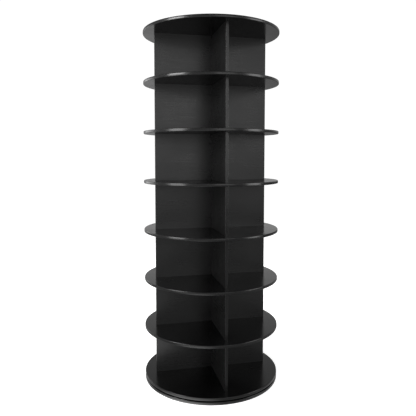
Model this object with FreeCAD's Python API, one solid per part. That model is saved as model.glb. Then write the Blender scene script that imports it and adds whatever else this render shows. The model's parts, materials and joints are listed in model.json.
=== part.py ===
import FreeCAD, Part
import math
import os

# Rotating shoe tower. Round shelves are stacked on crosses of upright panels, and the whole stack turns
# on a ring bearing that lies between the lowest shelf and a base disc of the same diameter.
# Millimetres, +Z up. The origin is the centre of the footprint, on the floor.
# The main panels stand along X, the dividers along Y, and the front of the tower is -Y.

# ---- Driving dimensions: boards and uprights ----
tier_count = 7
board_diameter = 600.0
board_thickness = 12.0
tier_clear_height = 204.0        # between one shelf and the next
panel_thickness = 12.0
panel_setback = 48.0             # from a shelf's rim in to the free end of an upright
divider_offset = 8.0             # front dividers stand this far towards +X, rear ones towards -X

# ---- Driving dimensions: edging ----
board_edging = 2.0               # plastic edging round a shelf
board_edging_round = 1.5         # radius on its two outer edges
panel_edging = 1.0               # plastic edging on the free end of an upright
panel_edging_round = 0.8

# ---- Driving dimensions: base ----
base_thickness = 12.0
pad_count = 8
pad_radius = 15.0
pad_thickness = 2.0
pad_inset = 32.0                 # from the base disc's rim in to a pad's centre
access_hole_radius = 6.0         # lets a screwdriver reach the upper ring's screws from below

# ---- Driving dimensions: ring bearing ----
race_radius = 135.0              # circle on which the ball centres lie
ball_count = 36
ball_radius = 1.75
race_clearance = 0.2             # between a ball and the groove it runs in
race_lip = 0.75                  # from a groove's edge to the nearer board
ring_lift = 0.5                  # running gap between a ring and the board it isn't fixed to
ring_gap = 1.6                   # radial gap between the two rings
ring_width = 16.0
cage_thickness = 0.8
cage_end_gap = 0.5               # from the cage's edges to the boards above and below
pocket_clearance = 0.05

# ---- Driving dimensions: fasteners ----
screw_radius = 2.0               # long wood screws
screw_head_radius = 4.0
screw_length = 40.0
screw_inset = 60.0               # from an upright's free end in to its shelf screw
screw_end_inset = 42.0           # from an upright's top and bottom in to its divider screws
ring_screw_radius = 1.75         # short wood screws of the bearing
ring_screw_head_radius = 3.5
ring_screw_count = 6
ring_screw_bite = 9.0            # depth to which they enter a board
thread_clearance = 0.05          # threads are plain cylinders, just clear of their holes
shank_clearance = 0.25           # in the piece that a screw pulls down
tip_clearance = 1.0
recess_width = 1.0               # arms of the cross recess in every screw head
dowel_radius = 3.0
dowel_length = 24.0
dowel_inset = 30.0               # from an upright's free end in to its dowel
dowel_floor = 4.0                # board left below a dowel's hole
glue_gap = 0.05
cap_radius = 6.5
cap_height = 1.0
cap_round = 0.6

# ---- Derived sizes ----
board_radius = board_diameter / 2
core_radius = board_radius - board_edging
groove_radius = ball_radius + race_clearance
bearing_height = 2 * (groove_radius + race_lip)
upright_reach = board_radius - panel_setback
half_panel = panel_thickness / 2
tier_pitch = tier_clear_height + board_thickness
dowel_seat = board_thickness - dowel_floor

base_bottom = pad_thickness
base_top = base_bottom + base_thickness
first_shelf_bottom = base_top + bearing_height
ball_level = base_top + bearing_height / 2

outer_ring_bore = race_radius + ring_gap / 2
inner_ring_rim = race_radius - ring_gap / 2
outer_screw_circle = outer_ring_bore + ring_width / 2
inner_screw_circle = inner_ring_rim - ring_width / 2

up = FreeCAD.Vector(0, 0, 1)
centre = FreeCAD.Vector(0, 0, 0)


def shelf_bottom(level):
    """Height of a board's underside. Level 1 is the lowest shelf."""
    return first_shelf_bottom + (level - 1) * tier_pitch


def shelf_top(level):
    return shelf_bottom(level) + board_thickness


def point(x, y, z):
    return FreeCAD.Vector(x, y, z)


def moved(shape, offset, turn=0.0):
    """A copy of the shape, turned about Z and then moved."""
    copy = shape.copy()
    copy.rotate(centre, up, turn)
    copy.translate(offset)
    return copy


def on_circle(shape, count, radius, z, start=0.0):
    """Copies of the shape evenly spaced on a circle about the tower's axis."""
    copies = []
    for index in range(count):
        angle = start + 360.0 * index / count
        place = point(radius * math.cos(math.radians(angle)), radius * math.sin(math.radians(angle)), z)
        copies.append(moved(shape, place, angle))
    return copies


def disc(radius, bottom, height):
    return Part.makeCylinder(radius, height, point(0, 0, bottom))


def ring(outer, inner, bottom, height):
    return disc(outer, bottom, height).cut(disc(inner, bottom, height))


def block(x_low, x_high, y_low, y_high, z_low, z_high):
    return Part.makeBox(x_high - x_low, y_high - y_low, z_high - z_low, point(x_low, y_low, z_low))


def save(name, shape):
    solids = shape.Solids
    if not shape.isValid() or not solids:
        raise ValueError("bad shape: " + name)
    result = solids[0] if len(solids) == 1 else Part.makeCompound(solids)
    result.exportStep("parts/" + name + ".step")
    print(name, len(solids), "solid(s)", round(result.Volume / 1000, 2), "cm3")


# ---- Screws, dowels and the holes they need ----

def countersunk(head, shank, length):
    """A countersunk body that points down from z = 0: a 90 degree cone on a cylinder."""
    cone_height = head - shank
    cone = Part.makeCone(shank, head, cone_height, point(0, 0, -cone_height))
    return cone.fuse(Part.makeCylinder(shank, length, point(0, 0, -length))).removeSplitter()


def wood_screw(head, shank, length):
    """Countersunk wood screw pointing down, with its head's top at z = 0 and a cross recess in it."""
    tip = 2 * shank
    body = countersunk(head, shank, length - tip)
    body = body.fuse(Part.makeCone(0.2, shank, tip, point(0, 0, -length))).removeSplitter()
    arm = 0.6 * head
    depth = 0.7 * (head - shank)
    for turn in (0, 90):
        slot = block(-arm, arm, -recess_width / 2, recess_width / 2, -depth, depth)
        slot.rotate(centre, up, turn)
        body = body.cut(slot)
    return body


def screw_hole(head, shank, thickness, bite):
    """Hole for a screw that points down: a countersink and clearance through the first piece, whose
    thickness is given, then a pilot in the piece below."""
    free = countersunk(head, shank + shank_clearance, thickness)
    pilot = Part.makeCylinder(shank + thread_clearance, bite + tip_clearance,
                              point(0, 0, -thickness - bite - tip_clearance))
    return free.fuse(pilot)


def upside_down(shape):
    copy = shape.copy()
    copy.rotate(centre, FreeCAD.Vector(1, 0, 0), 180)
    return copy


def pointing(shape, y_sign):
    """Turns a shape that points down so that it points along +Y or -Y."""
    copy = shape.copy()
    copy.rotate(centre, FreeCAD.Vector(1, 0, 0), 90 * y_sign)
    return copy


def free_end_places(inset):
    """Plan positions on the four arms of a cross, an inset back from each arm's free end."""
    reach = upright_reach - inset
    return [(reach, 0.0), (-reach, 0.0), (divider_offset, -reach), (-divider_offset, reach)]


shelf_screw = wood_screw(screw_head_radius, screw_radius, screw_length)
shelf_screw_hole = screw_hole(screw_head_radius, screw_radius, board_thickness, screw_length - board_thickness)
divider_screw_hole = screw_hole(screw_head_radius, screw_radius, panel_thickness, screw_length - panel_thickness)

ring_height = bearing_height - ring_lift
ring_screw = wood_screw(ring_screw_head_radius, ring_screw_radius, ring_height + ring_screw_bite)
ring_screw_hole = screw_hole(ring_screw_head_radius, ring_screw_radius, ring_height, ring_screw_bite)

dowel = Part.makeCylinder(dowel_radius, dowel_length)
dowel_hole = Part.makeCylinder(dowel_radius + glue_gap, dowel_length + 2 * glue_gap, point(0, 0, -glue_gap))


def shelf_screw_places(level):
    """Screws driven down through the board at this level into the cross below it."""
    return [point(x, y, shelf_top(level)) for x, y in free_end_places(screw_inset)]


def dowel_places(level):
    """Dowels that locate the cross that stands on the board at this level."""
    return [point(x, y, shelf_top(level) - dowel_seat) for x, y in free_end_places(dowel_inset)]


def divider_screw_places(level):
    """Screws that pass through the main panel into the dividers: each with the way it points."""
    low = shelf_top(level) + screw_end_inset
    high = shelf_bottom(level + 1) - screw_end_inset
    places = []
    for z in (low, high):
        places.append((point(divider_offset, half_panel, z), -1))
        places.append((point(-divider_offset, -half_panel, z), 1))
    return places


# ---- Boards and their edging ----

def edging_ring(bottom, thickness):
    """Plastic edging glued round a board, with its two outer edges rounded."""
    band = ring(board_radius, core_radius, bottom, thickness)
    rims = [edge for edge in band.Edges if isinstance(edge.Curve, Part.Circle)
            and abs(edge.Curve.Radius - board_radius) < 0.001]
    return band.makeFillet(board_edging_round, rims)


def shelf_board(level):
    board = disc(core_radius, shelf_bottom(level), board_thickness)
    cutters = []
    if level > 1:
        cutters += [moved(shelf_screw_hole, place) for place in shelf_screw_places(level)]
    else:
        bearing_holes = on_circle(upside_down(ring_screw_hole), ring_screw_count, inner_screw_circle,
                                  base_top + ring_lift)
        cutters += bearing_holes
    if level <= tier_count:
        cutters += [moved(dowel_hole, place) for place in dowel_places(level)]
    return board.cut(Part.makeCompound(cutters))


# ---- Uprights of one tier ----

def upright_holes(level):
    """Every hole that the fasteners of one tier need in its uprights."""
    cutters = [moved(shelf_screw_hole, place) for place in shelf_screw_places(level + 1)]
    cutters += [moved(dowel_hole, place) for place in dowel_places(level)]
    for place, way in divider_screw_places(level):
        cutters.append(moved(pointing(divider_screw_hole, way), place))
    return Part.makeCompound(cutters)


def upright(x_low, x_high, y_low, y_high, level):
    body = block(x_low, x_high, y_low, y_high, shelf_top(level), shelf_bottom(level + 1))
    return body.cut(upright_holes(level))


def main_panel(level):
    reach = upright_reach - panel_edging
    return upright(-reach, reach, -half_panel, half_panel, level)


def front_divider(level):
    return upright(divider_offset - half_panel, divider_offset + half_panel,
                   panel_edging - upright_reach, -half_panel, level)


def rear_divider(level):
    return upright(-divider_offset - half_panel, -divider_offset + half_panel,
                   half_panel, upright_reach - panel_edging, level)


def edging_strip(level):
    """Edging of one free end: a strip as wide as a panel, outer face at x = upright_reach."""
    strip = block(upright_reach - panel_edging, upright_reach, -half_panel, half_panel,
                  shelf_top(level), shelf_bottom(level + 1))
    outer = [edge for edge in strip.Edges
             if abs(edge.BoundBox.ZLength - tier_clear_height) < 0.001
             and edge.BoundBox.XMin > upright_reach - panel_edging / 2]
    return strip.makeFillet(panel_edging_round, outer)


def edging_strips(level):
    strip = edging_strip(level)
    return Part.makeCompound([
        strip,
        moved(strip, centre, 180),
        moved(strip, point(divider_offset, 0, 0), -90),
        moved(strip, point(-divider_offset, 0, 0), 90),
    ])


# ---- Base and ring bearing ----

def base_disc():
    board = disc(core_radius, base_bottom, base_thickness)
    cutters = on_circle(ring_screw_hole, ring_screw_count, outer_screw_circle, base_top + ring_height)
    cutters.append(Part.makeCylinder(access_hole_radius, base_thickness,
                                     point(inner_screw_circle, 0, base_bottom)))
    return board.cut(Part.makeCompound(cutters))


def ball_groove():
    return Part.makeTorus(race_radius, groove_radius, point(0, 0, ball_level))


def bearing_outer_ring():
    """Lower ring of the bearing: lies on the base disc, round the balls."""
    body = ring(outer_ring_bore + ring_width, outer_ring_bore, base_top, ring_height)
    holes = on_circle(ring_screw_hole, ring_screw_count, outer_screw_circle, base_top + ring_height)
    return body.cut(Part.makeCompound([ball_groove()] + holes))


def bearing_inner_ring():
    """Upper ring of the bearing: hangs from the lowest shelf, inside the balls."""
    body = ring(inner_ring_rim, inner_ring_rim - ring_width, base_top + ring_lift, ring_height)
    holes = on_circle(upside_down(ring_screw_hole), ring_screw_count, inner_screw_circle,
                      base_top + ring_lift)
    return body.cut(Part.makeCompound([ball_groove()] + holes))


def ball_cage():
    """Thin plastic hoop between the rings, with a round pocket for each ball."""
    body = ring(race_radius + cage_thickness / 2, race_radius - cage_thickness / 2,
                base_top + cage_end_gap, bearing_height - 2 * cage_end_gap)
    pocket = Part.makeCylinder(ball_radius + pocket_clearance, 2 * cage_thickness,
                               point(-cage_thickness, 0, 0), FreeCAD.Vector(1, 0, 0))
    return body.cut(Part.makeCompound(on_circle(pocket, ball_count, race_radius, ball_level)))


def screw_cap():
    """Low round cap over a screw head in the top board."""
    cap = Part.makeCylinder(cap_radius, cap_height)
    top_edge = [edge for edge in cap.Edges if edge.BoundBox.ZMin > cap_height / 2]
    return cap.makeFillet(cap_round, top_edge)


# ---- Build ----
os.makedirs("parts", exist_ok=True)

save("base_disc", base_disc())
save("base_edging", edging_ring(base_bottom, base_thickness))
pad = Part.makeCylinder(pad_radius, pad_thickness)
pads = on_circle(pad, pad_count, board_radius - pad_inset, 0.0, 180.0 / pad_count)
save("rubber_pads", Part.makeCompound(pads))

save("bearing_outer_ring", bearing_outer_ring())
save("bearing_inner_ring", bearing_inner_ring())
save("ball_cage", ball_cage())
ball = Part.makeSphere(ball_radius)
save("bearing_balls", Part.makeCompound(on_circle(ball, ball_count, race_radius, ball_level)))
outer_screws = on_circle(ring_screw, ring_screw_count, outer_screw_circle, base_top + ring_height)
save("outer_ring_screws", Part.makeCompound(outer_screws))
inner_screws = on_circle(upside_down(ring_screw), ring_screw_count, inner_screw_circle,
                         base_top + ring_lift)
save("inner_ring_screws", Part.makeCompound(inner_screws))

top_level = tier_count + 1
shelf_screws = []
divider_screws = []
dowels = []
for level in range(1, top_level + 1):
    board_name = "top_board" if level == top_level else "shelf_%d" % level
    save(board_name, shelf_board(level))
    save(board_name + "_edging", edging_ring(shelf_bottom(level), board_thickness))
    if level > 1:
        shelf_screws += [moved(shelf_screw, place) for place in shelf_screw_places(level)]

for tier in range(1, tier_count + 1):
    save("main_panel_%d" % tier, main_panel(tier))
    save("front_divider_%d" % tier, front_divider(tier))
    save("rear_divider_%d" % tier, rear_divider(tier))
    save("panel_edging_%d" % tier, edging_strips(tier))
    dowels += [moved(dowel, place) for place in dowel_places(tier)]
    for place, way in divider_screw_places(tier):
        divider_screws.append(moved(pointing(shelf_screw, way), place))

save("shelf_screws", Part.makeCompound(shelf_screws))
save("divider_screws", Part.makeCompound(divider_screws))
save("dowels", Part.makeCompound(dowels))
caps = [moved(screw_cap(), place) for place in shelf_screw_places(top_level)]
save("screw_caps", Part.makeCompound(caps))
print("height", round(shelf_top(top_level) + cap_height, 2), "mm, diameter", board_diameter, "mm")
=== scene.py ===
# %% [markdown]
# # A rotating shoe tower
#
# Eight round boards stand on each other with crosses of upright panels between them, and the whole
# stack turns on a thin ring bearing over a base disc. Everything that carries or turns is already
# solid in the frame, drilled and cut to size. This notebook gives it the surfaces that the workshop
# gives the real one: laminated faces, plastic edging with rounded edges, threads, flutes and rubber.
# The frame's pieces are loaded first, and their box is kept, because no finish may outgrow them.

import json
import math

import bmesh
import bpy
import numpy as np
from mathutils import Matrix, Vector

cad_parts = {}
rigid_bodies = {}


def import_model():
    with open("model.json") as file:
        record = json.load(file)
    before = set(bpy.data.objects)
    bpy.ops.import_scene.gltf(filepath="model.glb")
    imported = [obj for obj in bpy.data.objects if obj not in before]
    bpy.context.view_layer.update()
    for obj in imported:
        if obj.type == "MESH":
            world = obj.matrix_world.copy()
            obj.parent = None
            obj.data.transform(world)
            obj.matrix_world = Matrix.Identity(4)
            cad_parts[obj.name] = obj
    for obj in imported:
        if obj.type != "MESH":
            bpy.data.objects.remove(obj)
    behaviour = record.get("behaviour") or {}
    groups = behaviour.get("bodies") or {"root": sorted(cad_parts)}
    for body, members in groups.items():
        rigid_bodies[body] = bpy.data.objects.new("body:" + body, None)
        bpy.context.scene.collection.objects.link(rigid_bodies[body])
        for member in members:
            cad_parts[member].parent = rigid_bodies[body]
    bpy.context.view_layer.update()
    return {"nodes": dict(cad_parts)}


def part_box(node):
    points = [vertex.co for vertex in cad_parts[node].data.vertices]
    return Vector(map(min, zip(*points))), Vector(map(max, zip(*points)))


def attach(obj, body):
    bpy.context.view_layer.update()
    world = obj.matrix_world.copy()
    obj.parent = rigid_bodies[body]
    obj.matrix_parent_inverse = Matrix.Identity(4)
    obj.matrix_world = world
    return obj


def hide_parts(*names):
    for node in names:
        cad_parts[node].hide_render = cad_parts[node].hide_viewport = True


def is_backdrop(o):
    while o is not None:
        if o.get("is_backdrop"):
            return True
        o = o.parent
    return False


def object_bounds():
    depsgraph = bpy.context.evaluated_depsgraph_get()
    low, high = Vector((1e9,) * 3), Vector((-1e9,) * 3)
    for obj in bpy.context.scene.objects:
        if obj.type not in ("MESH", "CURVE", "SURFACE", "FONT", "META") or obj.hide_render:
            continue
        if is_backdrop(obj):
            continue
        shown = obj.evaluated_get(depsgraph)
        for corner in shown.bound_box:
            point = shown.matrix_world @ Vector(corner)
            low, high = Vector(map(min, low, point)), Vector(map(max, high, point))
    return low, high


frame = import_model()

# %% [markdown]
# ## Measure the construction
#
# A cabinet maker reads sizes off the carcass before cutting edging for it. The same is done here:
# each size is read from the box of a node, so a carcass of another size gets edging, screws and
# dowels that still fit. Only sizes that no box can tell, such as the pitch of a thread, are typed in.
# Lengths are in metres throughout.

# %% Sizes read from the frame
TIERS = sum(name.startswith("main_panel_") for name in frame["nodes"])
BOARDS = ["shelf_%d" % level for level in range(1, TIERS + 1)] + ["top_board"]

rim_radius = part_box("shelf_1_edging")[1].x
core_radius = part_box("shelf_1")[1].x
board_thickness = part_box("shelf_1")[1].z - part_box("shelf_1")[0].z
first_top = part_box("shelf_1")[1].z
tier_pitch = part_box("shelf_2")[1].z - first_top
panel_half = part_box("main_panel_1")[1].y
upright_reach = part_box("panel_edging_1")[1].x
strip_thickness = upright_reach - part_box("main_panel_1")[1].x
divider_offset = (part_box("front_divider_1")[0].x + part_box("front_divider_1")[1].x) / 2
print("boards of radius %.1f mm every %.1f mm" % (1000 * rim_radius, 1000 * tier_pitch))

# %% [markdown]
# ## From numbers to a closed surface
#
# Every new piece is a sheet of points: one direction runs round the piece, the other along it. Modelling
# tools could draw each one by hand, but a formula gives the same piece at any size, and numpy works
# out the whole sheet at once. Where a sheet closes on itself, or all of a row lands on one point, the
# doubled points are merged, which leaves a watertight skin whose faces then all turn outwards.

# %% Sheets of points and what they become
MERGE_DISTANCE = 1e-6
SHARP_ANGLE = math.radians(32)


def sheet_faces(rows, columns):
    """Quads of a sheet that closes round each row: a point, the next one round, and the two above them."""
    row, column = np.meshgrid(np.arange(rows - 1), np.arange(columns), indexing="ij")
    after = (column + 1) % columns
    corners = [row * columns + column, row * columns + after,
               (row + 1) * columns + after, (row + 1) * columns + column]
    return np.stack(corners, axis=-1).reshape(-1, 4)


def copies_of(sheet, turns, places):
    """Copies of a sheet: each is turned about Z by an angle in radians, then moved to its place."""
    cosine, sine = np.cos(turns)[:, None, None], np.sin(turns)[:, None, None]
    x = sheet[..., 0] * cosine - sheet[..., 1] * sine
    y = sheet[..., 0] * sine + sheet[..., 1] * cosine
    z = np.broadcast_to(sheet[..., 2], x.shape)
    return np.stack([x, y, z], axis=-1) + np.asarray(places)[:, None, None, :]


def make_piece(name, sheets, body, slot, finish, *nodes):
    """One piece from sheets of shape (copies, rows, columns, 3), riding on a body in place of CAD nodes."""
    sheets = np.asarray(sheets, dtype=np.float64)
    count, rows, columns = sheets.shape[:3]
    one = sheet_faces(rows, columns)
    faces = (one[None] + (np.arange(count) * rows * columns)[:, None, None]).reshape(-1, 4)
    mesh = bpy.data.meshes.new(name)
    mesh.vertices.add(sheets.size // 3)
    mesh.vertices.foreach_set("co", sheets.astype(np.float32).ravel())
    mesh.loops.add(faces.size)
    mesh.loops.foreach_set("vertex_index", faces.astype(np.int32).ravel())
    mesh.polygons.add(len(faces))
    mesh.polygons.foreach_set("loop_start", np.arange(0, faces.size, 4, dtype=np.int32))
    mesh.update(calc_edges=True)
    solid = bmesh.new()
    solid.from_mesh(mesh)
    bmesh.ops.remove_doubles(solid, verts=solid.verts, dist=MERGE_DISTANCE)
    bmesh.ops.recalc_face_normals(solid, faces=solid.faces)
    open_edges = sum(not edge.is_manifold for edge in solid.edges)
    solid.to_mesh(mesh)
    solid.free()
    mesh.shade_smooth()
    mesh.set_sharp_from_angle(angle=SHARP_ANGLE)
    mesh.materials.append(finish)
    piece = bpy.data.objects.new(name, mesh)
    bpy.context.scene.collection.objects.link(piece)
    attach(piece, body)
    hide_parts(*nodes)
    print(name, len(mesh.polygons), "faces,", open_edges, "open edges")


# %% Outlines that several pieces share
def rounded_rectangle(x_low, x_high, y_low, y_high, radii, arc_steps=6, side_steps=3):
    """Outline of a rectangle, counterclockwise from its lower right corner. Each corner is a quarter
    circle: centre = corner moved in by the radius, point = centre + radius * (cos a, sin a)."""
    radii = np.asarray(radii, dtype=np.float64)
    corners = np.array([[x_high, y_low], [x_high, y_high], [x_low, y_high], [x_low, y_low]])
    inwards = np.array([[-1, 1], [-1, -1], [1, -1], [1, 1]])
    centres = corners + inwards * radii[:, None]
    angles = np.radians([-90, 0, 90, 180])[:, None] + np.linspace(0, math.pi / 2, arc_steps)
    arcs = centres[:, None] + radii[:, None, None] * np.stack([np.cos(angles), np.sin(angles)], -1)
    share = (np.arange(1, side_steps + 1) / (side_steps + 1))[None, :, None]
    start, end = arcs[:, -1:], np.roll(arcs[:, :1], -1, axis=0)
    return np.concatenate([arcs, start + share * (end - start)], axis=1).reshape(-1, 2)


def turned(profile, angles):
    """Surface of revolution. Rows follow the profile of (radius, height) points, columns the angles:
    x = radius * cos a, y = radius * sin a, z = height."""
    radius, height = profile[:, 0, None], profile[:, 1, None]
    return np.stack([radius * np.cos(angles), radius * np.sin(angles),
                     np.broadcast_to(height, (len(profile), len(angles)))], axis=-1)


def full_turn(steps):
    """Angles of a full turn in equal steps, without the last one, which is the first again."""
    return np.arange(steps) * 2 * math.pi / steps


# %% [markdown]
# ## Finishes: a small kit for shader nodes
#
# A finish is a Principled shader whose colour, roughness and bump come from patterns in space. All
# patterns read Object coordinates, which are metres in the tower's own frame, so a grain has the same
# size on every piece and stays where it is when the tower turns. One helper adds a node and fills its
# inputs, which keeps each finish down to a few readable lines. A Mix node has sockets for each kind of
# value, all with the same names, so those two pairs are addressed by their place.

# %% Node helpers
NUMBER_A, NUMBER_B = 2, 3
COLOUR_A, COLOUR_B = 6, 7
NOISE_ROUGHNESS = 0.55


def add(tree, kind, inputs=None, **settings):
    """Adds a node. An input takes a number, a colour or the output socket of another node."""
    made = tree.nodes.new("ShaderNode" + kind)
    for name, value in settings.items():
        setattr(made, name, value)
    for name, value in (inputs or {}).items():
        if isinstance(value, bpy.types.NodeSocket):
            tree.links.new(value, made.inputs[name])
        else:
            made.inputs[name].default_value = value
    return made


def math_node(tree, operation, first, second=0.0):
    """One sum on two numbers or outputs."""
    return add(tree, "Math", {0: first, 1: second}, operation=operation).outputs[0]


def place(tree, scale):
    """Object coordinates stretched by one factor, or by one for each axis: a large one makes a fine
    pattern."""
    if not isinstance(scale, tuple):
        scale = (scale, scale, scale)
    coordinates = add(tree, "TexCoord").outputs["Object"]
    return add(tree, "Mapping", {"Vector": coordinates, "Scale": scale}).outputs["Vector"]


def noise(tree, scale, detail=3.0):
    """Noise whose grains are 1 / scale metres long, a value round 0.5."""
    return add(tree, "TexNoise", {"Vector": place(tree, scale), "Scale": 1.0, "Detail": detail,
                                  "Roughness": NOISE_ROUGHNESS}).outputs["Fac"]


def spread(tree, value, low, high, from_low=0.3, from_high=0.7):
    """Carries a value from one range over to another, and stops at the ends."""
    return add(tree, "MapRange", {"Value": value, "From Min": from_low, "From Max": from_high,
                                  "To Min": low, "To Max": high}).outputs["Result"]


def blend_numbers(tree, share, first, second):
    """From the first number to the second as the share goes from 0 to 1."""
    inputs = {"Factor": share, NUMBER_A: first, NUMBER_B: second}
    return add(tree, "Mix", inputs, data_type="FLOAT").outputs[0]


def blend_colours(tree, share, first, second):
    """The same for two colours, each three numbers or the output of another node."""
    ends = [end if isinstance(end, bpy.types.NodeSocket) else (*end, 1.0) for end in (first, second)]
    inputs = {"Factor": share, COLOUR_A: ends[0], COLOUR_B: ends[1]}
    return add(tree, "Mix", inputs, data_type="RGBA").outputs[2]


def bump(tree, height, distance, under=None):
    """Height pattern as surface slopes. distance is the real height in metres of a full step, and under
    is a bump that lies beneath this one."""
    made = add(tree, "Bump", {"Height": height, "Distance": distance})
    if under is not None:
        tree.links.new(under, made.inputs["Normal"])
    return made.outputs["Normal"]


def new_finish(name, **sockets):
    """An empty finish. The sockets that are even all over, such as IOR, are set on the shader itself."""
    finish = bpy.data.materials.new(name)
    finish.use_nodes = True
    shader = finish.node_tree.nodes["Principled BSDF"]
    for socket, value in sockets.items():
        shader.inputs[socket.replace("_", " ")].default_value = value
    return finish, finish.node_tree, shader


def connect(tree, shader, **outputs):
    """Links patterns to the shader's sockets. An underscore in a name stands for a space."""
    for socket, output in outputs.items():
        tree.links.new(output, shader.inputs[socket.replace("_", " ")])


# %% [markdown]
# ## Black laminate on particleboard
#
# The boards and uprights are particleboard with a black melamine skin. The skin is pressed against a
# textured plate, which leaves a fine pebble, and a faint straight grain along the longer side shows where
# light glances over it. The black is never quite even: the pebble wears smoother in patches and the
# colour drifts a little. Where a board is cut or drilled, the brown chips show between two thin dark
# lines. A picture of a laminate would repeat on every board. Patterns in space don't, and they know how
# deep a cut is, so one pattern paints the skin and the cut. The uprights are painted a little paler than
# the
# boards, which is painted light: their paler black stands in for light that falls on them. They are also
# less glossy.

# %% Laminate
SKIN_DEPTH = 0.00025
BOARD_BLACKS = ((0.0018, 0.0018, 0.0019), (0.0042, 0.0042, 0.0043))
# painted light: the uprights' blacks are paler than the boards' to stand in for light that falls on them
PAINTED_PALER_PANEL_BLACKS = ((0.0060, 0.0060, 0.0061), (0.0105, 0.0105, 0.0106))
CHIP_DARK = (0.20, 0.115, 0.055)
CHIP_PALE = (0.55, 0.39, 0.22)
BOARD_GLOSS = (0.17, 0.25)
PANEL_GLOSS = (0.26, 0.34)
PEBBLE_HEIGHT = 0.00002
GRAIN_HEIGHT = 0.00007
GRAIN_FINE = 260
GRAIN_LONG = 9
GRAIN_SATIN = 0.03
CUT_ROUGHNESS = 0.85
CHIP_SIZE = (900, 900, 260)
CHIP_SHARE = 0.7
X, Y, Z = 0, 1, 2


def skin_mask(tree, axis, middle, half, repeat=None):
    """1 in the two skins of a board and 0 in its core: |distance from the middle plane| > half - skin.
    With repeat, equal boards that lie one above the other at that pitch share the mask."""
    split = add(tree, "SeparateXYZ", {0: add(tree, "TexCoord").outputs["Object"]})
    along = split.outputs[axis]
    if repeat:
        above = math_node(tree, "SUBTRACT", along, middle - half)
        along = math_node(tree, "SUBTRACT", math_node(tree, "FLOORED_MODULO", above, repeat), half)
    else:
        along = math_node(tree, "SUBTRACT", along, middle)
    return math_node(tree, "GREATER_THAN", math_node(tree, "ABSOLUTE", along), half - SKIN_DEPTH)


def chip_colour(tree):
    """Pressed wood chips: cells of one to four millimetres, each its own brown, dusted with finer grit."""
    cells = add(tree, "TexVoronoi", {"Vector": place(tree, CHIP_SIZE), "Scale": 1.0}).outputs["Color"]
    shade = math_node(tree, "MULTIPLY", add(tree, "SeparateXYZ", {0: cells}).outputs[0], CHIP_SHARE)
    grit = math_node(tree, "MULTIPLY", noise(tree, 2600), 1 - CHIP_SHARE)
    return blend_colours(tree, math_node(tree, "ADD", shade, grit), CHIP_DARK, CHIP_PALE)


def grain_along(axis):
    """Stretch of a straight grain: fine across, long along its axis."""
    scale = [GRAIN_FINE, GRAIN_FINE, GRAIN_FINE]
    scale[axis] = GRAIN_LONG
    return tuple(scale)


def laminate(name, grain_axis, look, across, middle, half, repeat=None):
    """Satin black laminate, its grain along one axis. look is two blacks and two roughnesses to drift
    between, and across is the axis through the thickness of the board."""
    finish, tree, shader = new_finish(name, IOR=1.5)
    blacks, gloss = look
    skin = skin_mask(tree, across, middle, half, repeat)
    patches = noise(tree, 7, detail=4.0)
    streaks = noise(tree, grain_along(grain_axis), detail=5.0)
    pebble = noise(tree, 1500, detail=2.0)
    drift = math_node(tree, "MULTIPLY", math_node(tree, "ADD", patches, streaks), 0.5)
    black = blend_colours(tree, spread(tree, drift, 0.0, 1.0), *blacks)
    colour = blend_colours(tree, skin, chip_colour(tree), black)
    along_grain = spread(tree, streaks, -GRAIN_SATIN, GRAIN_SATIN)
    satin = math_node(tree, "ADD", spread(tree, patches, *gloss), along_grain)
    rough = blend_numbers(tree, skin, CUT_ROUGHNESS, satin)
    fine = bump(tree, pebble, distance=PEBBLE_HEIGHT)
    slopes = bump(tree, streaks, distance=GRAIN_HEIGHT, under=fine)
    connect(tree, shader, Base_Color=colour, Roughness=rough, Normal=slopes)
    return finish


half_board = board_thickness / 2
shelf_middle = first_top - half_board
base_middle = (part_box("base_disc")[0].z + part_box("base_disc")[1].z) / 2
board_look = (BOARD_BLACKS, BOARD_GLOSS)
# the uprights' look carries their painted paler black
panel_look_painted_paler = (PAINTED_PALER_PANEL_BLACKS, PANEL_GLOSS)
shelf_laminate = laminate("shelf_laminate", X, board_look, Z, shelf_middle, half_board, tier_pitch)
base_laminate = laminate("base_laminate", X, board_look, Z, base_middle, half_board)
main_laminate = laminate("main_panel_laminate", X, panel_look_painted_paler, Y, 0.0, panel_half)
front_laminate = laminate("front_divider_laminate", Y, panel_look_painted_paler, X, divider_offset, panel_half)
rear_laminate = laminate("rear_divider_laminate", Y, panel_look_painted_paler, X, -divider_offset, panel_half)


def paint_node(name, finish):
    """Gives a CAD node a finish. Its mesh stays as packed."""
    node = frame["nodes"][name]
    node.data.materials.clear()
    node.data.materials.append(finish)


paint_node("base_disc", base_laminate)
for board in BOARDS:
    paint_node(board, shelf_laminate)
for tier in range(1, TIERS + 1):
    paint_node("main_panel_%d" % tier, main_laminate)
    paint_node("front_divider_%d" % tier, front_laminate)
    paint_node("rear_divider_%d" % tier, rear_laminate)
print("laminate on", len(BOARDS) + 1, "boards and", 3 * TIERS, "uprights")

# %% [markdown]
# ## Plastic edging round the boards
#
# A strip of black plastic is glued round each board. It comes off the reel slightly domed, its two outer
# edges are rounded, a hair's breadth of glue line parts it from the laminate, and its ends meet in a
# butt joint that the assembler turns to the back. A plain ring with a Bevel modifier would miss the
# dome and the joint. Here the cross-section is carried round the board, and near the joint it dips.

# %% Edging band round a board
EDGE_ROUND = 0.0018
GLUE_LINE = 0.00015
DOME = 0.0005
JOINT_DEPTH = 0.00035
JOINT_WIDTH = 0.00045
BAND_STEPS = 300
JOINT_REACH = 2.2
JOINT_STEPS = 17


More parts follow.
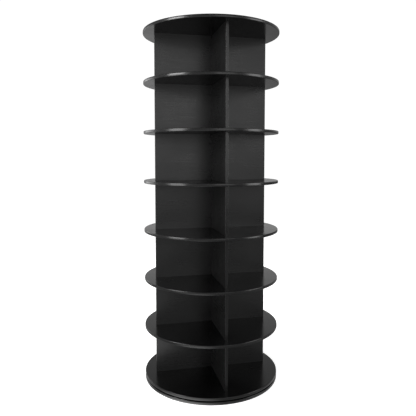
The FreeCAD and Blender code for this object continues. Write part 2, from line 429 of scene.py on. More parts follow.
def band_profile(bottom):
    """Closed cross-section (radius, height) of the edging: a rounded rectangle whose outer face is
    domed, radius = outer radius - dome * (height from the middle / half height) squared."""
    inner = core_radius - GLUE_LINE
    outline = rounded_rectangle(inner, rim_radius, bottom, bottom + board_thickness,
                                (EDGE_ROUND, EDGE_ROUND, 2 * GLUE_LINE, 2 * GLUE_LINE), 8, 7)
    off_middle = (outline[:, 1] - bottom - half_board) / half_board
    outwards = (outline[:, 0] - inner) / (rim_radius - inner)
    outline[:, 0] -= DOME * off_middle ** 2 * outwards
    return np.vstack([outline, outline[:1]])


def band_sheet(bottom, joint):
    """The cross-section carried round the board. At the butt joint the band dips inwards by
    depth * exp(-(arc length from the joint / width) squared), and most where it stands out most."""
    near = joint + JOINT_WIDTH / rim_radius * np.linspace(-JOINT_REACH, JOINT_REACH, JOINT_STEPS)
    angles = np.sort(np.concatenate([full_turn(BAND_STEPS) % (2 * math.pi), near % (2 * math.pi)]))
    sheet = turned(band_profile(bottom), angles)
    arc = rim_radius * np.abs((angles - joint + math.pi) % (2 * math.pi) - math.pi)
    dip = JOINT_DEPTH * np.exp(-(arc / JOINT_WIDTH) ** 2)
    radius = np.hypot(sheet[..., 0], sheet[..., 1])
    outwards = np.clip((radius - core_radius) / (rim_radius - core_radius), 0, 1)
    sheet[..., :2] *= (1 - dip * outwards / radius)[..., None]
    return sheet


# %% Edging finish
EDGING_BLACK = (0.0030, 0.0030, 0.0031)
EDGING_SCUFFED = (0.012, 0.012, 0.0122)
EDGING_GLOSS = (0.20, 0.28)
SCUFF_ROUGHNESS = 0.12
SCUFF_RARITY = (0.66, 0.80)
SCUFF_SHAPE = (70, 70, 420)
DRAW_FINE = 1400
DRAW_LONG = 12
DRAW_HEIGHT = 0.00003


def edging_plastic(name, along):
    """Semi-gloss plastic. Fine draw lines run the way the strip left the die, and a few scuffs are
    paler."""
    finish, tree, shader = new_finish(name, IOR=1.5)
    lines = noise(tree, along)
    cloud = noise(tree, 18, detail=4.0)
    scuffs = spread(tree, noise(tree, SCUFF_SHAPE, detail=5.0), 0.0, 1.0, *SCUFF_RARITY)
    colour = blend_colours(tree, scuffs, EDGING_BLACK, EDGING_SCUFFED)
    scuffed = math_node(tree, "MULTIPLY", scuffs, SCUFF_ROUGHNESS)
    gloss = math_node(tree, "ADD", spread(tree, cloud, *EDGING_GLOSS), scuffed)
    slopes = bump(tree, lines, distance=DRAW_HEIGHT)
    connect(tree, shader, Base_Color=colour, Roughness=gloss, Normal=slopes)
    return finish


band_plastic = edging_plastic("edge_band_plastic", (DRAW_LONG, DRAW_LONG, DRAW_FINE))
strip_plastic = edging_plastic("edge_strip_plastic", (DRAW_FINE, DRAW_FINE, DRAW_LONG))
print("edging finishes:", band_plastic.name, "and", strip_plastic.name)

# %% Edging on every board
JOINT_ANGLE = math.radians(90)
JOINT_SPREAD = math.radians(25)
JOINT_SHUFFLE = 2.1


def joint_angle(level):
    """Every board's joint is at the back, and no two are quite in line:
    middle + spread * sin(shuffle * level)."""
    return JOINT_ANGLE + JOINT_SPREAD * math.sin(JOINT_SHUFFLE * level)


def band_round(board, body, level):
    """Edges one board."""
    node = board.replace("_disc", "") + "_edging"
    sheet = band_sheet(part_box(board)[0].z, joint_angle(level))
    make_piece(node + "_band", [sheet], body, "black_edging", band_plastic, node)


band_round("base_disc", "base", 0)
for level, board in enumerate(BOARDS, start=1):
    band_round(board, "tower", level)

# %% [markdown]
# ## Edging on the uprights
#
# The free end of every upright wears a thinner strip of the same plastic, as wide as the panel. It is a
# straight piece, so its outline in plan is simply drawn upwards, and closed at both ends by pulling the
# last outline in to a point. Four strips, one for each arm of the cross, make the set of a tier.

# %% Strips of one tier
STRIP_ROUND = 0.00095
STRIP_END = 0.0002


def straight_piece(outline, low, high):
    """An outline (x, y) drawn up from low to high. Near each end it shrinks a little, and at the end it
    shrinks to its own centre, which closes the piece: point = centre + share * (outline - centre)."""
    centre = (outline.min(axis=0) + outline.max(axis=0)) / 2
    half_width = (outline.max(axis=0) - centre).min()
    pulled_in = 1 - STRIP_END / half_width
    shares = np.array([0, pulled_in, 1, 1, pulled_in, 0])[:, None, None]
    heights = np.array([low, low, low + STRIP_END, high - STRIP_END, high, high])
    flat = centre + shares * (outline[None] - centre)
    return np.concatenate([flat, np.broadcast_to(heights[:, None, None], (*flat.shape[:2], 1))], axis=-1)


strip_outline = rounded_rectangle(upright_reach - strip_thickness, upright_reach, -panel_half, panel_half,
                                  (STRIP_ROUND, STRIP_ROUND, STRIP_END, STRIP_END))
strip_turns = np.radians([0, 180, -90, 90])
strip_places = [(0, 0, 0), (0, 0, 0), (divider_offset, 0, 0), (-divider_offset, 0, 0)]
for tier in range(1, TIERS + 1):
    low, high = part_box("main_panel_%d" % tier)
    strip = straight_piece(strip_outline, low.z, high.z)
    make_piece("upright_strips_%d" % tier, copies_of(strip, strip_turns, strip_places), "tower",
               "black_edging", strip_plastic, "panel_edging_%d" % tier)

# %% [markdown]
# ## Rubber pads
#
# Eight stick-on pads lift the base disc off the floor. Each is moulded with shallow rings underneath that
# grip, and a small chamfer so that it lets go of the mould. All of that is one profile turned about the
# pad's own axis. The rings are a cosine of the radius, flat on the floor at the rim.

# %% Pads under the base
PAD_RINGS = 4.5
PAD_RING_DEPTH = 0.00016
PAD_CHAMFER = 0.0004
PAD_COUNT = 8
PAD_RADIUS = 0.015
PAD_STEPS = 48
PAD_BLACKS = ((0.016, 0.016, 0.016), (0.045, 0.045, 0.044))
PAD_BLOOM = (0.4, 0.7)
PAD_MATT = (0.72, 0.88)
PAD_GRAIN = 0.00005
pad_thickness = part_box("rubber_pads")[1].z
pad_circle = (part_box("rubber_pads")[1].x - PAD_RADIUS) / math.cos(math.pi / PAD_COUNT)


def pad_profile():
    """From the middle of the underside to the middle of the top. Underneath,
    height = depth * (1 + cos(2 pi * rings * radius / rim)) / 2, which ends at 0."""
    rim = PAD_RADIUS - PAD_CHAMFER
    radius = np.linspace(0, rim, 37)
    height = PAD_RING_DEPTH * (1 + np.cos(2 * math.pi * PAD_RINGS * radius / rim)) / 2
    under = np.stack([radius, height], axis=-1)
    side = [(PAD_RADIUS, PAD_CHAMFER), (PAD_RADIUS, pad_thickness - PAD_CHAMFER),
            (rim, pad_thickness), (0, pad_thickness)]
    return np.vstack([under, side])


def rubber_finish():
    """Matt rubber: a fine grain from the mould and a little grey bloom."""
    finish, tree, shader = new_finish("pad_rubber_finish", IOR=1.48)
    bloom = noise(tree, 160, detail=5.0)
    colour = blend_colours(tree, spread(tree, bloom, 0.0, 1.0, *PAD_BLOOM), *PAD_BLACKS)
    connect(tree, shader, Base_Color=colour, Roughness=spread(tree, bloom, *PAD_MATT),
            Normal=bump(tree, noise(tree, 3000), distance=PAD_GRAIN))
    return finish


pad_angles = math.pi / PAD_COUNT + full_turn(PAD_COUNT)
pad_places = turned(np.array([[pad_circle, 0.0]]), pad_angles)[0]
pads = copies_of(turned(pad_profile(), full_turn(PAD_STEPS)), pad_angles, pad_places)
make_piece("rubber_feet", pads, "base", "pad_rubber", rubber_finish(), "rubber_pads")

# %% [markdown]
# ## Caps over the screws in the top board
#
# Four low plastic caps hide the only screw heads that nothing stands on. They are moulded with a soft
# edge, a barely domed face and a faint ring where the stem behind them shrank. Again a turned profile
# does it: the dome is a parabola, and the edge is a quarter circle.

# %% Screw caps
CAP_RADIUS = 0.0065
CAP_EDGE = 0.0006
CAP_DOME = 0.00012
CAP_SINK = 0.00006
CAP_SINK_RADIUS = 0.0022
CAP_SINK_WIDTH = 0.0005
CAP_STEPS = 48
CAP_BLACKS = ((0.013, 0.013, 0.0135), (0.022, 0.022, 0.022))
CAP_SATIN = (0.38, 0.50)
CAP_GRAIN = 0.00004
cap_low, cap_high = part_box("screw_caps")
cap_reach = cap_high.x - CAP_RADIUS


def cap_profile(bottom, top):
    """From the middle of the top to the middle of the underside: a shallow dome with a ring-shaped sink
    mark, height = top - dome * (radius / rim) squared - sink * exp(-((radius - ring) / width) squared)."""
    rim = CAP_RADIUS - CAP_EDGE
    radius = np.linspace(0, rim, 25)
    dome = CAP_DOME * (radius / rim) ** 2
    sink = CAP_SINK * np.exp(-((radius - CAP_SINK_RADIUS) / CAP_SINK_WIDTH) ** 2)
    face = np.stack([radius, top - dome - sink], axis=-1)
    angle = np.linspace(math.pi / 2, 0, 8)[1:]
    edge_height = face[-1, 1] - CAP_EDGE + CAP_EDGE * np.sin(angle)
    edge = np.stack([rim + CAP_EDGE * np.cos(angle), edge_height], axis=-1)
    return np.vstack([face, edge, [(CAP_RADIUS, bottom), (0, bottom)]])


def cap_finish():
    """Satin moulded plastic with a spark-eroded grain and a faint cloud of handling."""
    finish, tree, shader = new_finish("cap_plastic_finish", IOR=1.49)
    cloud = noise(tree, 120, detail=4.0)
    colour = blend_colours(tree, spread(tree, cloud, 0.0, 1.0), *CAP_BLACKS)
    connect(tree, shader, Base_Color=colour, Roughness=spread(tree, cloud, *CAP_SATIN),
            Normal=bump(tree, noise(tree, 2200), distance=CAP_GRAIN))
    return finish


def four_ends(reach):
    """Plan positions on the four arms of a cross, at the given distance from the tower's axis."""
    return np.array([(reach, 0), (-reach, 0), (divider_offset, -reach), (-divider_offset, reach)])


def at_height(plan, height):
    """Plan positions as places in space, with one height for all of them or one for each."""
    return np.column_stack([plan, np.broadcast_to(height, len(plan))])


cap_sheet = turned(cap_profile(0.0, cap_high.z - cap_low.z), full_turn(CAP_STEPS))
caps = copies_of(cap_sheet, np.zeros(4), at_height(four_ends(cap_reach), cap_low.z))
make_piece("screw_cover_caps", caps, "tower", "cap_plastic", cap_finish(), "screw_caps")

# %% [markdown]
# ## Wood screws
#
# Long countersunk screws pull the boards down on the crosses, shorter ones hold the bearing. A real
# screw is a rolled blank: a cone head with a cross recess, a plain neck, and a thread that winds to a
# point. One sheet holds all of it. Its rows run from the middle of the head to the tip, and the thread
# is the distance to a helix, so no part has to be joined on. Once the tower is built, only the black
# heads in the main panels show, but a screw that is taken out still looks like one.

# %% One screw as a sheet
SCREW_COLUMNS = 24
THREAD_ROWS = 6
THREAD_PITCH = 0.9
THREAD_CORE = 0.68
THREAD_FLANK = 2.4
TIP_TAPER = 3
HEAD_ROWS = (0, 0.15, 0.3, 0.45, 0.55, 0.65, 0.8, 0.95, 1.0)
HEAD_RIM = 0.06
RECESS_ARM = 0.62
RECESS_DEPTH = 0.75
RECESS_WIDTH = 0.3


def screw_sheet(head, shank, length, plain):
    """A screw that points down from z = 0. Rows go from the head's centre over its rim to the tip.
    Recess: depth * (share of the arm left) * (1 - |sin 2a| * radius / arm width), cut off at 0.
    Thread: radius = core + rise * max(0, 1 - flank * |turn - 1/2|), where turn is the part left over of
    z / pitch - a / full turn. Pitch and core are shares of the shank's radius, the rest of the head's."""
    pitch = THREAD_PITCH * shank
    core = THREAD_CORE * shank
    arm = RECESS_ARM * head
    rows_down = int(THREAD_ROWS * (length - plain) / pitch)
    face = np.array([(share * head, 0.0) for share in HEAD_ROWS])
    neck = np.array([(head, -HEAD_RIM * head), (shank, shank - head), (shank, -plain)])
    reach = np.linspace(0, 1, rows_down)
    height = -plain - reach * (length - plain)
    thread = np.stack([np.full(rows_down, core), height], axis=-1)
    profile = np.vstack([face, neck, thread, [(0, -length)]])
    angles = full_turn(SCREW_COLUMNS)
    sheet = turned(profile, angles)
    radius = np.hypot(sheet[..., 0], sheet[..., 1])
    depth = RECESS_DEPTH * (head - shank) * np.clip((arm - radius) / (0.5 * arm), 0, 1)
    cross = np.clip(1 - np.abs(np.sin(2 * angles)) * radius / (RECESS_WIDTH * arm), 0, 1)
    sheet[:len(face), :, 2] -= (depth * cross)[:len(face)]
    turn = (sheet[..., 2] / pitch - angles / (2 * math.pi)) % 1.0
    ridge = core + (shank - core) * np.clip(1 - THREAD_FLANK * np.abs(turn - 0.5), 0, None)
    taper = np.clip((length + sheet[..., 2]) / (TIP_TAPER * shank), 0, 1)
    first = len(face) + len(neck)
    lead_in = np.clip((-plain - sheet[..., 2]) / pitch, 0, 1)
    grown = (core + (ridge - core) * lead_in) * np.sqrt(taper)
    scale = np.where(radius > 0, grown / np.maximum(radius, 1e-9), 1)
    sheet[first:, :, :2] *= scale[first:, :, None]
    return sheet


def pointing_up(sheet):
    """Half a turn about the X axis."""
    return sheet * np.array([1, -1, -1])


def pointing_along_y(sheet, way):
    """A quarter turn about the X axis, so that a screw that points down points along +Y or -Y."""
    return np.stack([sheet[..., 0], -way * sheet[..., 2], way * sheet[..., 1]], axis=-1)


# %% Screw finishes
ZINC_GREYS = ((0.46, 0.47, 0.49), (0.72, 0.72, 0.71))
ZINC_GLOSS = (0.28, 0.42)
BLACKENED_GREYS = ((0.018, 0.018, 0.020), (0.050, 0.049, 0.048))
BLACKENED_GLOSS = (0.34, 0.48)
SCREW_LINES = (4200, 4200, 700)
SCREW_LINE_HEIGHT = 0.00002


def screw_finish(name, greys, gloss):
    """Plated steel: bright where the plating is thick, with a cloudy bloom and fine drawing lines."""
    finish, tree, shader = new_finish(name, Metallic=1.0)
    bloom = noise(tree, 500, detail=5.0)
    colour = blend_colours(tree, spread(tree, bloom, 0.0, 1.0), *greys)
    connect(tree, shader, Base_Color=colour, Roughness=spread(tree, bloom, *gloss),
            Normal=bump(tree, noise(tree, SCREW_LINES), distance=SCREW_LINE_HEIGHT))
    return finish


zinc = screw_finish("zinc_screw_finish", ZINC_GREYS, ZINC_GLOSS)
blackened = screw_finish("blackened_screw_finish", BLACKENED_GREYS, BLACKENED_GLOSS)
print("screw finishes:", zinc.name, "and", blackened.name)

# %% Screws through the boards and through the main panels
SCREW_HEAD = 0.004
SCREW_SHANK = 0.002
SCREW_LENGTH = 0.040
SCREW_PLAIN = 1.2
screw = screw_sheet(SCREW_HEAD, SCREW_SHANK, SCREW_LENGTH, SCREW_PLAIN * board_thickness)
screw_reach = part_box("shelf_screws")[1].x - SCREW_HEAD
heights = first_top + tier_pitch * np.arange(1, TIERS + 1)
board_places = np.concatenate([at_height(four_ends(screw_reach), height) for height in heights])
board_screws = copies_of(screw, np.zeros(len(board_places)), board_places)
make_piece("board_screws", board_screws, "tower", "zinc_screw_steel", zinc, "shelf_screws")


def one_above_another(spot, levels):
    """The same plan position at each of the levels."""
    return at_height(np.tile([spot], (len(levels), 1)), levels)


low_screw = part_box("divider_screws")[0].z + SCREW_HEAD
high_screw = first_top + tier_pitch - board_thickness - (low_screw - first_top)
screw_heights = (np.array([low_screw, high_screw]) + tier_pitch * np.arange(TIERS)[:, None]).ravel()
to_front = one_above_another((divider_offset, panel_half), screw_heights)
to_rear = one_above_another((-divider_offset, -panel_half), screw_heights)
no_turn = np.zeros(2 * TIERS)
panel_screws = np.concatenate([copies_of(pointing_along_y(screw, -1), no_turn, to_front),
                               copies_of(pointing_along_y(screw, 1), no_turn, to_rear)])
make_piece("panel_screws", panel_screws, "tower", "black_screw_steel", blackened, "divider_screws")

# %% Screws of the bearing
RING_SCREW_HEAD = 0.0035
RING_SCREW_SHANK = 0.00175
RING_SCREW_PLAIN = 0.4
RING_SCREWS = 6


def on_circle(count, radius, height):
    """Angles and places of equal pieces in a ring."""
    angles = full_turn(count)
    return angles, turned(np.array([[radius, height]]), angles)[0]


outer_low, outer_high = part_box("outer_ring_screws")
inner_low, inner_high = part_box("inner_ring_screws")
ring_screw_length = outer_high.z - outer_low.z
ring_screw_plain = RING_SCREW_PLAIN * ring_screw_length
ring_screw = screw_sheet(RING_SCREW_HEAD, RING_SCREW_SHANK, ring_screw_length, ring_screw_plain)
lower_ring = on_circle(RING_SCREWS, outer_high.x - RING_SCREW_HEAD, outer_high.z)
upper_ring = on_circle(RING_SCREWS, inner_high.x - RING_SCREW_HEAD, inner_low.z)
lower_screws = copies_of(ring_screw, *lower_ring)
upper_screws = copies_of(pointing_up(ring_screw), *upper_ring)
make_piece("lower_bearing_screws", lower_screws, "base", "zinc_screw_steel", zinc, "outer_ring_screws")
make_piece("upper_bearing_screws", upper_screws, "tower", "zinc_screw_steel", zinc, "inner_ring_screws")

# %% [markdown]
# ## Beech dowels
#
# Dowels locate each cross on the board that it stands on. Shop dowels are fluted, so that glue and air
# can leave the hole, and chamfered to find it. The flutes are a cosine round the dowel, and they fade
# out in the chamfer. Beech is pale and straight grained with short dark flecks, which the finish
# gets from noise that is stretched along the dowel.

# %% Dowels
DOWEL_RADIUS = 0.003
DOWEL_CHAMFER = 0.0008
FLUTES = 20
FLUTE_DEPTH = 0.00022
BEECH_BROWNS = ((0.50, 0.31, 0.16), (0.70, 0.50, 0.30))
BEECH_FLECK = (0.36, 0.19, 0.09)
BEECH_GRAIN = (1500, 1500, 60)
BEECH_FLECKS = (2600, 2600, 420)
FLECK_RARITY = (0.6, 0.72)
BEECH_MATT = (0.55, 0.70)
BEECH_RELIEF = 0.00005
dowel_low, dowel_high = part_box("dowels")
dowel_length = dowel_high.z - dowel_low.z - tier_pitch * (TIERS - 1)


def dowel_sheet():
    """radius = dowel radius - flute depth * (1 + cos(flutes * a)) / 2, less the chamfer at both ends."""
    ends = np.array([0, 0, DOWEL_CHAMFER, dowel_length - DOWEL_CHAMFER, dowel_length, dowel_length])
    radii = DOWEL_RADIUS - np.array([DOWEL_RADIUS, DOWEL_CHAMFER, 0, 0, DOWEL_CHAMFER, DOWEL_RADIUS])
    sheet = turned(np.stack([radii, ends], axis=-1), full_turn(4 * FLUTES))
    flute = FLUTE_DEPTH * (1 + np.cos(FLUTES * full_turn(4 * FLUTES))) / 2
    full = (radii >= DOWEL_RADIUS - 1e-9)[:, None]
    sheet[..., :2] *= (1 - np.where(full, flute, 0) / DOWEL_RADIUS)[..., None]
    return sheet


def beech_finish():
    """Plain beech: a straight grain, and short darker flecks where the noise is highest."""
    finish, tree, shader = new_finish("beech_finish", IOR=1.5)
    grain = noise(tree, BEECH_GRAIN, detail=5.0)
    flecks = spread(tree, noise(tree, BEECH_FLECKS), 0.0, 1.0, *FLECK_RARITY)
    wood = blend_colours(tree, spread(tree, grain, 0.0, 1.0), *BEECH_BROWNS)
    colour = blend_colours(tree, flecks, wood, BEECH_FLECK)
    connect(tree, shader, Base_Color=colour, Roughness=spread(tree, grain, *BEECH_MATT),
            Normal=bump(tree, grain, distance=BEECH_RELIEF))
    return finish


dowel_reach = dowel_high.x - DOWEL_RADIUS
dowel_heights = dowel_low.z + tier_pitch * np.arange(TIERS)
dowel_places = np.concatenate([at_height(four_ends(dowel_reach), height) for height in dowel_heights])
dowels = copies_of(dowel_sheet(), np.zeros(len(dowel_places)), dowel_places)
make_piece("fluted_dowels", dowels, "tower", "beech_dowel", beech_finish(), "dowels")

# %% [markdown]
# ## The ring bearing
#
# Two aluminium rings, a nylon cage and a row of steel balls lie in the gap over the base disc. The rings
# and the cage keep the frame's own shape, which already has the grooves, pockets and countersinks.
# They only need their finish: turned aluminium carries fine circles about the axis, because that is
# how the tool passed over it. The balls are ground true, so they become smooth new spheres.

# %% Bearing finishes
ALUMINIUM_GREYS = ((0.58, 0.59, 0.61), (0.76, 0.77, 0.79))
ALUMINIUM_GLOSS = (0.26, 0.42)
OXIDE_CLOUDS = (40, 40, 200)
TOOL_CIRCLES = 900.0
TOOL_CIRCLE_HEIGHT = 0.00002
NYLON_WHITES = ((0.70, 0.68, 0.60), (0.83, 0.82, 0.76))
NYLON_SATIN = (0.40, 0.55)
NYLON_GRAIN = 0.00003


def turned_aluminium():
    """Fine tool circles: rings round the tower's axis, roughened by a slow cloud of oxide."""
    finish, tree, shader = new_finish("turned_aluminium_finish", Metallic=1.0)
    circles = {"Vector": place(tree, 1), "Scale": TOOL_CIRCLES, "Distortion": 1.5, "Detail": 2.0}
    rings = add(tree, "TexWave", circles, wave_type="RINGS", rings_direction="Z").outputs["Fac"]
    cloud = noise(tree, OXIDE_CLOUDS, detail=5.0)
    colour = blend_colours(tree, spread(tree, cloud, 0.0, 1.0), *ALUMINIUM_GREYS)
    connect(tree, shader, Base_Color=colour, Roughness=spread(tree, cloud, *ALUMINIUM_GLOSS),
            Normal=bump(tree, rings, distance=TOOL_CIRCLE_HEIGHT))
    return finish


def nylon_finish():
    """Natural nylon: milky, waxy, with the grain of the mould."""
    milky = {"IOR": 1.53, "Subsurface_Weight": 0.15, "Subsurface_Scale": 0.002}
    finish, tree, shader = new_finish("nylon_finish", **milky)
    cloud = noise(tree, 220, detail=4.0)
    colour = blend_colours(tree, spread(tree, cloud, 0.0, 1.0), *NYLON_WHITES)
    connect(tree, shader, Base_Color=colour, Roughness=spread(tree, cloud, *NYLON_SATIN),
            Normal=bump(tree, noise(tree, 2500), distance=NYLON_GRAIN))
    return finish


aluminium = turned_aluminium()
paint_node("bearing_outer_ring", aluminium)
paint_node("bearing_inner_ring", aluminium)
paint_node("ball_cage", nylon_finish())
print("bearing rings in", aluminium.name, "and the cage in nylon")

# %% Balls
BALLS = 36
BALL_RINGS = 15
BALL_STEPS = 24
STEEL_GREYS = ((0.56, 0.56, 0.57), (0.68, 0.68, 0.70))
STEEL_GLOSS = (0.06, 0.20)
GREASE_HEIGHT = 0.00001
ball_low, ball_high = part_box("bearing_balls")
ball_radius = (ball_high.z - ball_low.z) / 2
race_radius = ball_high.x - ball_radius


def sphere_profile(radius, steps):
    """Half a circle from pole to pole: (radius * sin v, radius * cos v)."""
    v = np.linspace(0, math.pi, steps)
    return radius * np.stack([np.sin(v), np.cos(v)], axis=-1)


def steel_finish():
    """Ground and polished steel, with the faintest film of grease."""
    finish, tree, shader = new_finish("ball_steel_finish", Metallic=1.0)
    film = noise(tree, 700, detail=4.0)
    colour = blend_colours(tree, spread(tree, film, 0.0, 1.0), *STEEL_GREYS)
    connect(tree, shader, Base_Color=colour, Roughness=spread(tree, film, *STEEL_GLOSS),
            Normal=bump(tree, film, distance=GREASE_HEIGHT))
    return finish


ball = turned(sphere_profile(ball_radius, BALL_RINGS), full_turn(BALL_STEPS))
balls = copies_of(ball, *on_circle(BALLS, race_radius, (ball_low.z + ball_high.z) / 2))
make_piece("steel_balls", balls, "cage", "ball_steel", steel_finish(), "bearing_balls")

# %% [markdown]
# ## Stage, light and camera
#
# The tower stands on a plain pale floor in a bright room. Black laminate shows little of its own colour
# and mostly mirrors what is round it, so its look is made by what stands beside the camera. Soft lights
# at the left put a bright streak on the rims, one at the right opens the shadows, and two dim panels
# in front give the uprights their sheen. Two stand behind for whoever walks round the tower, and a high
# one, which shows in no gloss, lights the floor and the tops.
#
# A studio holds black flags between a lamp and whatever it would glare on, and dims mirrored white with
# black cloth. Here light linking is the flag: the lights at the sides and behind leave out the flat
# boards, and one leaves out the rims too. For the cloth, the floor and the room simply have two values,
# one for being looked at and one for being mirrored. The mirrored floor is painted glow, with a painted
# pool of light at the front left and painted light where it meets the base.

# %% What is seen and what is mirrored
def seen_or_mirrored(tree, seen, mirrored):
    """One value where the camera looks straight at a thing, another where its light reaches other
    things."""
    return blend_numbers(tree, add(tree, "LightPath").outputs["Is Camera Ray"], mirrored, seen)


# %% Floor
FLOOR_RADIUS = 4.0
FLOOR_PLAIN = 0.3
FLOOR_GLOW_NEAR = 0.55
FLOOR_GLOW_FAR = 0.75
FLOOR_GLOW_FULL = 2.6
FLOOR_PAINT = (0.90, 0.93)
FLOOR_MATT = (0.75, 0.85)
FLOOR_SIDES = 96
FLOOR_MIRRORED = 0.32
# painted pool of light on the mirrored floor: its way, its spread, its glow and its reach
LIT_WAY = math.radians(33)
LIT_FULL = math.radians(8)
LIT_END = math.radians(30)
PAINTED_POOL_GLOW = 1.5
LIT_NEAR = 0.6
LIT_FAR = 2.5
# painted light where the floor meets the base, and how far out it reaches
PAINTED_GLOW_AT_BASE = 2.4
BASE_REACH = 1.12


def mirrored_floor(tree, where, out):
    """What gloss sees of the floor, all of it glow: an even grey, and a painted pool of light, a fan that
    spreads from the tower to the front left, painted as if under a lamp. grey + glow * fan(angle from the
    lit way) * fade(distance), all of it painted more than twice as bright where the floor meets the base,
    and no glow under the base, which paints it in shade. The fan is full in its middle and gone at its
    sides, and the fade runs from near to far."""
    split = add(tree, "SeparateXYZ", {0: where})
    left = math_node(tree, "MULTIPLY", split.outputs["X"], -1.0)
    ahead = math_node(tree, "MULTIPLY", split.outputs["Y"], -1.0)
    way = math_node(tree, "SUBTRACT", math_node(tree, "ARCTAN2", left, ahead), LIT_WAY)
    fan = spread(tree, math_node(tree, "ABSOLUTE", way), 1.0, 0.0, LIT_FULL, LIT_END)
    # painted pool of light: a fan of glow that no lamp throws
    fade = spread(tree, out, PAINTED_POOL_GLOW, 0.0, LIT_NEAR, LIT_FAR)
    lit = math_node(tree, "ADD", math_node(tree, "MULTIPLY", fan, fade), FLOOR_MIRRORED)
    # painted light at the foot of the base, and painted shade, no glow, under it
    painted_glow_at_base = spread(tree, out, PAINTED_GLOW_AT_BASE, 1.0, rim_radius, BASE_REACH * rim_radius)
    outside = math_node(tree, "GREATER_THAN", out, rim_radius)
    return math_node(tree, "MULTIPLY", lit, math_node(tree, "MULTIPLY", painted_glow_at_base, outside))


def floor_finish():
    """Matt white studio floor with the faint clouds of a painted surface. It glows more with the distance
    from the tower, as a floor does that runs up into a lit backdrop, so it has no visible end."""
    finish, tree, shader = new_finish("pale_floor_finish", IOR=1.45, Emission_Color=(1.0, 1.0, 1.0, 1.0))
    cloud = noise(tree, 0.8)
    where = add(tree, "TexCoord").outputs["Object"]
    out = add(tree, "VectorMath", {0: where}, operation="LENGTH").outputs["Value"]
    seen = spread(tree, out, FLOOR_GLOW_NEAR, FLOOR_GLOW_FAR, FLOOR_PLAIN, FLOOR_GLOW_FULL)
    paint = seen_or_mirrored(tree, spread(tree, cloud, *FLOOR_PAINT), 0.0)
    # as gloss sees it, the floor is black and only glows: an even grey with its painted pool of light
    connect(tree, shader, Base_Color=paint, Roughness=spread(tree, cloud, *FLOOR_MATT),
            Emission_Strength=seen_or_mirrored(tree, seen, mirrored_floor(tree, where, out)))
    return finish


floor_mesh = bpy.data.meshes.new("pale_floor")
floor_edge = turned(np.array([[FLOOR_RADIUS, 0.0]]), full_turn(FLOOR_SIDES))[0]
floor_mesh.from_pydata(floor_edge.tolist(), [], [tuple(range(FLOOR_SIDES))])
floor_mesh.materials.append(floor_finish())
floor = bpy.data.objects.new("pale_floor", floor_mesh)
bpy.context.scene.collection.objects.link(floor)
floor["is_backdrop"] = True
print("floor of radius", FLOOR_RADIUS, "m")

# %% Room light
ROOM_SEEN = 1.05
ROOM_LEFT = 0.80
ROOM_RIGHT = 0.17
ROOM_NEAR = 0.5
ROOM_ABOVE = 0.52
ROOM_CEILING = 0.26
FROM_LEFT_TO_RIGHT = (0.0, 0.45)
DOWN_TO_NEAR = (-0.27, -0.12)
UP_TO_CEILING = (0.30, 0.38)
THE_HORIZON = (-0.03, 0.05)


def white_room():
    """The camera sees an even white. What lights the tower, and shows in it, is dimmer. Above the horizon
    it is an even grey up to a darker ceiling. Below the horizon it falls from the left to the right and,
    near the horizon, to half. Each change runs between two values of the view's direction."""
    room = bpy.data.worlds.new("white_room")
    room.use_nodes = True
    tree = room.node_tree
    ways = add(tree, "SeparateXYZ", {0: add(tree, "TexCoord").outputs["Generated"]})
    across, rising = ways.outputs["X"], ways.outputs["Z"]
    side = spread(tree, across, ROOM_LEFT, ROOM_RIGHT, *FROM_LEFT_TO_RIGHT)
    below = math_node(tree, "MULTIPLY", side, spread(tree, rising, 1.0, ROOM_NEAR, *DOWN_TO_NEAR))
    above = spread(tree, rising, ROOM_ABOVE, ROOM_CEILING, *UP_TO_CEILING)
    lit = blend_numbers(tree, spread(tree, rising, 0.0, 1.0, *THE_HORIZON), below, above)
    tree.links.new(seen_or_mirrored(tree, ROOM_SEEN, lit), tree.nodes["Background"].inputs["Strength"])
    tree.nodes["Background"].inputs["Color"].default_value = (1.0, 1.0, 1.0, 1.0)
    return room


bpy.context.scene.world = white_room()
bpy.context.scene.view_settings.view_transform = "Standard"
print("room:", ROOM_SEEN, "as seen,", ROOM_ABOVE, "down to", ROOM_CEILING, "as mirrored")

# %% Soft lights
FLAT_BOARDS = BOARDS + ["base_disc"]
RIM_BANDS = [piece.name for piece in bpy.data.objects if piece.name.endswith("_edging_band")]


def all_but(name, kept_off):
    """A collection of every piece but the ones that a flag keeps a light off."""
    lit = bpy.data.collections.new(name)
    for piece in bpy.context.scene.collection.all_objects:
        if piece.name not in kept_off:
            lit.objects.link(piece)
    return lit


off_boards = all_but("off_the_boards", FLAT_BOARDS)
off_rims = all_but("off_the_boards_and_rims", FLAT_BOARDS + RIM_BANDS)


def soft_light(name, spot, size, watts, aim, mirrored=True, lit=None):
    """A rectangular soft light at a spot, turned to face the tower's axis at the height of its aim. It
    doesn't show in the picture itself, and one that isn't mirrored doesn't show in gloss either. With
    lit, it lights that collection only."""
    lamp = bpy.data.lights.new(name, "AREA")
    lamp.shape = "RECTANGLE"
    lamp.size, lamp.size_y = size
    lamp.energy = watts
    made = bpy.data.objects.new(name, lamp)
    made.location = spot
    made.rotation_mode = "QUATERNION"
    made.rotation_quaternion = (Vector(spot) - Vector((0, 0, aim))).to_track_quat("Z", "Y")
    made.visible_camera = False
    made.visible_glossy = mirrored
    if lit is not None:
        made.light_linking.receiver_collection = lit
    bpy.context.scene.collection.objects.link(made)
    print(name, "at", [round(value, 2) for value in spot], watts, "W")


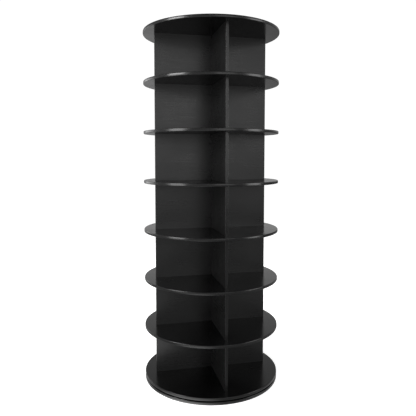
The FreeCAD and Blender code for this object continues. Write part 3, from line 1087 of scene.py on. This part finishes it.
soft_light("left_softbox", (-2.74, -1.10, 2.15), size=(1.4, 0.7), watts=42, aim=1.7, lit=off_boards)
soft_light("left_low_softbox", (-2.74, -1.10, 0.95), size=(1.4, 1.7), watts=33, aim=0.95, lit=off_boards)
soft_light("right_softbox", (2.7, -1.6, 1.3), size=(1.4, 2.2), watts=34, aim=0.9, lit=off_boards)
soft_light("front_panel", (0.68, -4.0, 1.15), size=(2.2, 1.0), watts=7.6, aim=1.1)
soft_light("front_top", (0.68, -4.0, 2.1), size=(2.2, 0.8), watts=6.4, aim=1.4)
soft_light("rear_left_panel", (-2.8, 2.8, 1.2), size=(2.4, 1.6), watts=26, aim=1.1, lit=off_boards)
soft_light("rear_right_panel", (2.7, 2.2, 1.3), size=(1.8, 1.6), watts=30, aim=1.1, lit=off_rims)
soft_light("high_softbox", (-1.2, -1.2, 4.2), size=(3.0, 3.0), watts=150, aim=0.6, mirrored=False)

# %% Camera
CAMERA_DISTANCE = 2.152
CAMERA_TURN = math.radians(-12.58)
CAMERA_SIDE = -0.0134
CAMERA_HEIGHT = 1.0065
CAMERA_TILT = math.radians(-3.955)
CAMERA_LENS = 41.27
CAMERA_SENSOR = 36.0
CAMERA_SHIFT = -0.048


def stand_camera():
    """Round the tower by an angle, back by a distance, a little to the side, then level or tilted:
    across = (cos a, sin a), ahead = (-sin a, cos a)."""
    across = Vector((math.cos(CAMERA_TURN), math.sin(CAMERA_TURN), 0))
    ahead = Vector((-math.sin(CAMERA_TURN), math.cos(CAMERA_TURN), 0))
    data = bpy.data.cameras.new("catalogue_camera")
    data.lens = CAMERA_LENS
    data.sensor_width = CAMERA_SENSOR
    data.shift_y = CAMERA_SHIFT
    camera = bpy.data.objects.new("catalogue_camera", data)
    camera.location = CAMERA_SIDE * across - CAMERA_DISTANCE * ahead + Vector((0, 0, CAMERA_HEIGHT))
    look = ahead * math.cos(CAMERA_TILT) + Vector((0, 0, math.sin(CAMERA_TILT)))
    camera.rotation_mode = "QUATERNION"
    camera.rotation_quaternion = (-look).to_track_quat("Z", "Y")
    bpy.context.scene.collection.objects.link(camera)
    bpy.context.scene.camera = camera
    return camera


camera = stand_camera()
print("camera at", [round(value, 3) for value in camera.location])

# %% Sizes and finish
low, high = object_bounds()
print("finished box", [round(value, 4) for value in low], [round(value, 4) for value in high])
